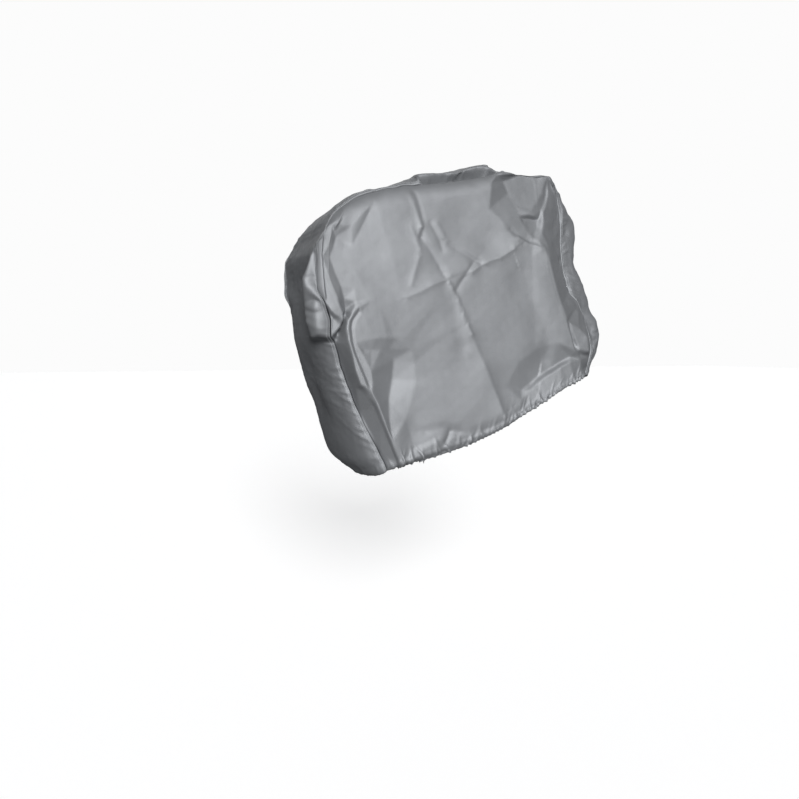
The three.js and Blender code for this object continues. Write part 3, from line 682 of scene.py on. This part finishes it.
# Facets of the strip beside the near seam, each line a crease through points: section number, counted from
# the aft hem, place across from -1 at the near seam to 1 at the far one, then forward, out, up. A point
# without these three is where the strip lies as cut.
STRIP_FACETS = [
    ("pouch corner", [(11, -0.985), (10, -0.93, -402, 168, -212), (9.5, -0.88, -415, 169, -241),
                      (9, -0.84, -431, 170, -281), (8, -0.84, -424, 156, -335),
                      (6, -0.84, -421, 156, -370), (5, -0.86, -409, 156, -405)]),
    ("pouch belly", [(7.6, -0.91, -407, 178, -345), (6.2, -0.91, -405, 179, -375),
                     (5.3, -0.92, -400, 177, -397)]),
    ("lip", [(9, -0.84, -431, 170, -281), (8.85, -0.87, -426, 179, -294), (8.4, -0.93, -405, 185, -314),
             (8, -1)]),
    ("under the lip", [(8.6, -0.86, -427, 171, -304), (8.0, -0.93, -403, 176, -326), (7, -1)]),
    ("pouch foot", [(5, -0.86, -409, 156, -405), (5, -0.93, -393, 169, -403), (5, -1)]),
    ("under the pouch", [(4, -1), (4, -0.8), (4.3, -0.5)]),
    ("behind the pouch", [(4.3, -0.5), (6, -0.35), (9, -0.35), (10.5, -0.6), (11, -0.985)]),
    ("dark fold at the crown", [(14.6, -1), (14.8, -0.92, -145, 136, -68), (15.8, -0.9, -67, 130, -50),
                                (16.9, -0.9, 6, 130, -35), (17.5, -0.93, 40, 136, -24), (17.9, -1)]),
    ("over the dark fold", [(14.6, -1), (14.8, -0.82, -157, 150, -36), (15.3, -0.8, -116, 150, -26),
                            (15.9, -0.8, -55, 149, -21), (16.3, -0.8, -34, 148, -11),
                            (16.8, -0.8, -7, 147, -2), (17.1, -0.8, 14, 147, 0),
                            (17.5, -0.82, 32, 148, -5), (17.9, -0.9, 53, 150, -11), (17.9, -1)]),
    ("back of the crown", [(14.5, -1), (14.7, -0.4), (17.8, -0.4), (18, -1)]),
    ("front corner", [(20, -0.98), (20.4, -0.9, 219, 128, -29), (20.8, -0.83, 245, 116, -52),
                      (21.5, -0.77, 273, 106, -80), (22, -0.72, 293, 100, -103),
                      (22.5, -0.73, 300, 102, -162), (23, -0.74, 302, 104, -213),
                      (23.5, -0.74, 313, 106, -243), (24, -0.74, 328, 108, -281),
                      (24.6, -0.74, 333, 110, -305), (25.4, -0.72, 359, 110, -343),
                      (26, -0.7, 372, 110, -369), (26.5, -0.7, 374, 110, -400),
                      (27, -0.7, 367, 110, -432), (27.5, -0.74, 354, 112, -463), (28, -0.82)]),
    ("front shoulder", [(22, -0.72, 293, 100, -103), (22.1, -0.86, 266, 113, -118), (22, -1)]),
    ("front groove", [(22.1, -0.86, 266, 113, -118), (22.4, -0.88, 267, 112, -142),
                      (22.9, -0.88, 276, 114, -190), (23.5, -0.88, 288, 116, -245),
                      (24.1, -0.88, 299, 118, -288), (25.4, -0.87, 319, 118, -349),
                      (26, -0.86, 344, 114, -385), (26.6, -0.86, 351, 114, -419),
                      (27.3, -0.88, 343, 118, -452), (28, -0.92)]),
    ("front back", [(20, -0.98), (21, -0.5), (22, -0.3), (27, -0.3), (28, -0.4)]),
    ("front seam", [(20, -1), (22, -1), (24, -1), (26, -1), (28, -1)]),
]
strip_facet_rounding = 1
strip_middle = line_through(seam_along, [(row[4], 0, row[5]) for row in SECTIONS])
strip_square = through(seam_along, [row[6] for row in SECTIONS])
section_steps, cells_across = 240, 72
edge_crowding = 0.45

# How much the strip is crumpled at each section number, counted from the aft hem.
crumpling = through([0, 4, 10, 13, 18, 21, 23, 27, 28], [0.4, 0.5, 0.5, 0.5, 0.5, 0.8, 2.2, 2.4, 1.2])
strip_crumple, strip_crumple_waves = 1.1, (26, 80)
strip_billow, strip_billow_waves = 0.9, (70, 240)
strip_uneven, strip_gathering = 0.2, 0.8

# The felled edge, and what each pucker beside it is drawn between, named as for the gathers.
fell_width, fell_edge, fell_rise = 11.0, 2.5, 0.5
pucker_gap, pucker_reach, pucker_width = (13.0, 30.0), (16.0, 60.0), (3.0, 6.0)
pucker_lean, pucker_height = (-0.3, 0.9), (0.2, 1.9)

# A distance from a seam that its puckers and its felled edge are never felt at.
out_of_reach = 1000.0


def seam_at(number):
    """The distance along the seam of a section by its number, which may lie between two sections."""
    return np.interp(number, np.arange(len(seam_along)), seam_along)


def strip_base(rows, shares):
    """The strip's points before its folds: rows are distances along the seam, shares run across it."""
    near, far, middle = seam_point(rows, -1), seam_point(rows, 1), strip_middle(rows)
    angle = np.linspace(0, math.pi, section_steps + 1)[None, :]
    on_near = angle < math.pi / 2
    power = 2 / np.where(on_near, strip_square(rows)[:, None], far_square)
    depth = np.clip(np.sin(angle), 0, 1) ** power
    across_it = np.abs(np.cos(angle)) ** power
    seam = np.where(on_near[..., None], near[:, None], far[:, None])
    line = mix(seam, middle[:, None], depth[..., None])
    line[..., 1] = seam[..., 1] * across_it
    line[:, 0], line[:, -1] = near, far
    points = np.empty((len(rows), len(shares), 3))
    for j, section in enumerate(line):
        along = lengths(section)
        for axis in range(3):
            points[j, :, axis] = np.interp(shares * along[-1], along, section[:, axis])
    return points


def seam_puckers(along, away, length, seed):
    """The small puckers that topstitching pulls into a strip beside its seam."""
    draw = np.random.default_rng(seed)
    out, place = np.zeros(along.shape), 0.0
    while place < length:
        place += draw.uniform(*pucker_gap)
        reach, width = draw.uniform(*pucker_reach), draw.uniform(*pucker_width)
        lean, height = draw.uniform(*pucker_lean), draw.uniform(*pucker_height)
        off = (along - place - lean * away) / width
        out += height * np.exp(-(off**2) - (away / reach) ** 2)
    return out


def strip_points(rows, shares):
    """The strip's points and the direction out of the cloth at each."""
    base = strip_base(rows, shares)
    side = 2 * shares - 1
    x, y = np.meshgrid(rows, side * map_half, indexing="ij")
    lines = []
    for _, line in STRIP_FACETS:
        lines.append([])
        for number, across_it, *place in line:
            at = seam_at(number)
            row, column = np.argmin(np.abs(rows - at)), np.argmin(np.abs(side - across_it))
            moved = np.array([place[0], -place[1], place[2]]) - base[row, column] if place else np.zeros(3)
            lines[-1].append((at, across_it * map_half, moved))
    base = base + softened(net_at(lines, x, y), strip_facet_rounding)
    facing = outward(base, -1)
    numbers = np.interp(rows, seam_along, np.arange(len(seam_along)))
    laid = [
        (name, [(seam_at(number), across_it * map_half) for number, across_it in path], *rest)
        for name, path, *rest in STRIP_FOLDS
    ]
    away = (1 - np.abs(side)) * map_half
    share = ease(away / seam_ease)[None, :]
    out = folds_at(laid, x, y)
    out += crumpling(numbers)[:, None] * strip_crumple * crumple(x, y, strip_crumple_waves, 71)
    out += strip_billow * ripples(x, y, strip_billow_waves, 72)
    out += strip_uneven * ripples(x, y, uneven_waves, 73)
    for hand, seed in ((-1, 74), (1, 75)):
        beside = np.broadcast_to(np.where(np.sign(side) == hand, away, out_of_reach)[None, :], x.shape)
        out += seam_puckers(x, beside, seam_length, seed)
        out += fell_rise * (1 - ease((beside - fell_width) / fell_edge))
    from_hem = np.minimum(rows, seam_length - rows)[:, None] + np.zeros(x.shape)
    out += gathers(y + map_half, from_hem, 2 * map_half, lambda place: strip_gathering, 76)
    points = base + facing * (share * out)[..., None]
    return points, outward(points, -1)


rows = np.concatenate([
    upward * aft_top,
    mix(aft_top, front_top, across[1:]),
    mix(front_top, seam_length, upward[1:]),
])
even = np.linspace(0, 1, cells_across + 1)
shares = even - edge_crowding / (2 * math.pi) * np.sin(2 * math.pi * even)
strip_grid, strip_facing = strip_points(rows, shares)
strip_cloth = coated_woven_polyester("woven polyester strip", "#828487")
strip_hems = [turned_hem(strip_grid, strip_facing), turned_hem(strip_grid, strip_facing, last=True)]
hemmed_strip = np.concatenate([strip_hems[0][::-1], strip_grid, strip_hems[1]])
hem_rows = len(strip_hems[0])
hemmed_facing = np.concatenate([
    np.repeat(strip_facing[:1], hem_rows, axis=0),
    strip_facing,
    np.repeat(strip_facing[-1:], hem_rows, axis=0),
])
strip = sheet("centre_strip_cloth", hemmed_strip, hemmed_facing, strip_cloth)
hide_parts("centre_strip")
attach(strip, "root")


# Topstitching
# Two rows of spun polyester thread run along each seam on the strip's side, through the felled edge. The
# stitches are 4 mm from hole to hole and drawn 1 mm thick, about twice what they are, so that they show.
stitch_pitch, stitch_length = 4.0, 3.3
thread_radius, thread_sides = 0.5, 5
seam_rows = (2.6, 8.6)

# Rings of a stitch from end to end: share of its length, height over the cloth, share of its thickness.
STITCH_RINGS = [(0, -0.4, 0.45), (0.2, 0.1, 1), (0.8, 0.1, 1), (1, -0.4, 0.45)]
thread_paint = bpy.data.materials.new("spun polyester thread")
thread_paint.use_nodes = True
thread_tree = thread_paint.node_tree
thread_shader = thread_tree.nodes["Principled BSDF"]
thread_shader.inputs["Roughness"].default_value = 0.7
thread_shader.inputs["Sheen Weight"].default_value = 0.2
thread_place = add_node(thread_tree, "ShaderNodeTexCoord")
thread_shade = add_node(
    thread_tree,
    "ShaderNodeTexNoise",
    None,
    {"Vector": thread_place.outputs["Object"], "Scale": 90.0, "Detail": 2.0},
)
thread_tint = add_node(thread_tree, "ShaderNodeValToRGB", None, {"Fac": thread_shade.outputs["Fac"]})
thread_tint.color_ramp.elements[0].color = srgb("#8A8D90")
thread_tint.color_ramp.elements[1].color = srgb("#B4B7BA")
thread_tree.links.new(thread_tint.outputs["Color"], thread_shader.inputs["Base Color"])


def on_line(points, along, at):
    """The point of a line that is at a distance along it."""
    return np.array([np.interp(at, along, points[:, axis]) for axis in range(3)])


def row_beside(grid, facing, away, last=False):
    """The line on the cloth that lies away from its first column, or its last, with the direction out."""
    line, normal = [], []
    for points, normals in zip(grid, facing):
        if last:
            points, normals = points[::-1], normals[::-1]
        along = lengths(points)
        line.append(on_line(points, along, away))
        normal.append(on_line(normals, along, away))
    return np.array(line), np.array(normal)


def stitches(name, lines):
    """One mesh of stitches along lines that lie on the cloth, each a short bar that dips at its ends."""
    points, faces = [], []
    ring = np.arange(thread_sides) * 2 * math.pi / thread_sides
    for line, normal in lines:
        along = lengths(line)
        for start in np.arange(stitch_pitch, along[-1] - stitch_pitch, stitch_pitch):
            first = len(points)
            for share, height, thickness in STITCH_RINGS:
                at = start + share * stitch_length
                centre = on_line(line, along, at)
                ahead = on_line(line, along, at + 1) - centre
                out = on_line(normal, along, at)
                ahead /= np.linalg.norm(ahead)
                out -= ahead * np.dot(out, ahead)
                out /= np.linalg.norm(out)
                beside = np.cross(ahead, out)
                centre = centre + out * height
                for turn in ring:
                    spoke = math.cos(turn) * beside + math.sin(turn) * out
                    points.append(centre + thickness * thread_radius * spoke)
            last_ring = len(STITCH_RINGS) - 1
            for step in range(last_ring):
                for side in range(thread_sides):
                    a = first + step * thread_sides + side
                    b = first + step * thread_sides + (side + 1) % thread_sides
                    faces.append((a, b, b + thread_sides, a + thread_sides))
            faces.append(tuple(first + side for side in reversed(range(thread_sides))))
            faces.append(tuple(first + last_ring * thread_sides + side for side in range(thread_sides)))
    place = (np.array(points) - np.array([0, 0, crown_rise])) * MM
    mesh = bpy.data.meshes.new(name)
    mesh.from_pydata(place.tolist(), [], faces)
    mesh.materials.append(thread_paint)
    piece = add_piece(name, mesh)
    bpy.ops.object.mode_set(mode="EDIT")
    bpy.ops.mesh.select_all(action="SELECT")
    bpy.ops.mesh.normals_make_consistent(inside=False)
    bpy.ops.object.mode_set(mode="OBJECT")
    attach(piece, "root")
    return piece


stitches("near_seam_stitches", [row_beside(strip_grid, strip_facing, away) for away in seam_rows])
stitches("far_seam_stitches", [row_beside(strip_grid, strip_facing, away, last=True) for away in seam_rows])


# Viewpoint, light and floor
# The cover hangs clear of a plain pale floor. Two wide soft suns stand for a studio's softboxes: one near
# the camera and above it, one behind for the far side.
view_azimuth, view_elevation = -21.0, 4.0
camera_place = (-0.776, -1.647, -0.4475)
focal_pixels, frame_pixels, sensor_width = 700.0, 799.0, 36.0
floor_height, floor_half = -1.6, 40.0


def aimed(azimuth, elevation):
    """The turn of a camera or light that looks along an azimuth, down by an elevation, in degrees."""
    return (math.radians(90 - elevation), 0, math.radians(azimuth))


def soft_sun(name, azimuth, elevation, strength, width):
    """A soft light that comes along an azimuth, down by an elevation; width is its spread in degrees."""
    data = bpy.data.lights.new(name, "SUN")
    data.energy = strength
    data.angle = math.radians(width)
    light = bpy.data.objects.new(name, data)
    light.rotation_euler = aimed(azimuth, elevation)
    bpy.context.collection.objects.link(light)


soft_sun("key", azimuth=-14, elevation=17, strength=4.45, width=20)
soft_sun("back fill", azimuth=155, elevation=25, strength=0.8, width=60)

camera_data = bpy.data.cameras.new("camera")
camera_data.sensor_width = sensor_width
camera_data.lens = sensor_width * focal_pixels / frame_pixels
camera_data.clip_end = 100
camera = bpy.data.objects.new("camera", camera_data)
camera.location = camera_place
camera.rotation_euler = aimed(view_azimuth, view_elevation)
bpy.context.collection.objects.link(camera)
bpy.context.scene.camera = camera
bpy.context.scene.view_settings.view_transform = "Standard"

studio = bpy.data.worlds.new("studio")
bpy.context.scene.world = studio
studio.use_nodes = True
studio_tree = studio.node_tree
studio_tree.nodes.clear()
seen = add_node(studio_tree, "ShaderNodeBackground", None, {"Color": srgb("#FCFCFC"), "Strength": 1.0})
ambient = add_node(studio_tree, "ShaderNodeBackground", None, {"Color": srgb("#F4F6FA"), "Strength": 0.125})
ray = add_node(studio_tree, "ShaderNodeLightPath")
either = add_node(
    studio_tree,
    "ShaderNodeMixShader",
    None,
    {0: ray.outputs["Is Camera Ray"], 1: ambient.outputs[0], 2: seen.outputs[0]},
)
add_node(studio_tree, "ShaderNodeOutputWorld", None, {"Surface": either.outputs[0]})

bpy.ops.object.select_all(action="DESELECT")
bpy.ops.mesh.primitive_plane_add(size=2 * floor_half, location=(0, 0, floor_height))
floor = bpy.context.object
floor.name = "floor"
pale_floor = bpy.data.materials.new("matt pale studio floor")
pale_floor.use_nodes = True
floor_shader = pale_floor.node_tree.nodes["Principled BSDF"]
floor_shader.inputs["Base Color"].default_value = srgb("#F4F4F4")
floor_shader.inputs["Emission Color"].default_value = srgb("#FFFFFF")
floor_shader.inputs["Emission Strength"].default_value = 0.42
floor_shader.inputs["Roughness"].default_value = 0.9
floor.data.materials.append(pale_floor)
floor.visible_diffuse = False
floor.visible_glossy = False
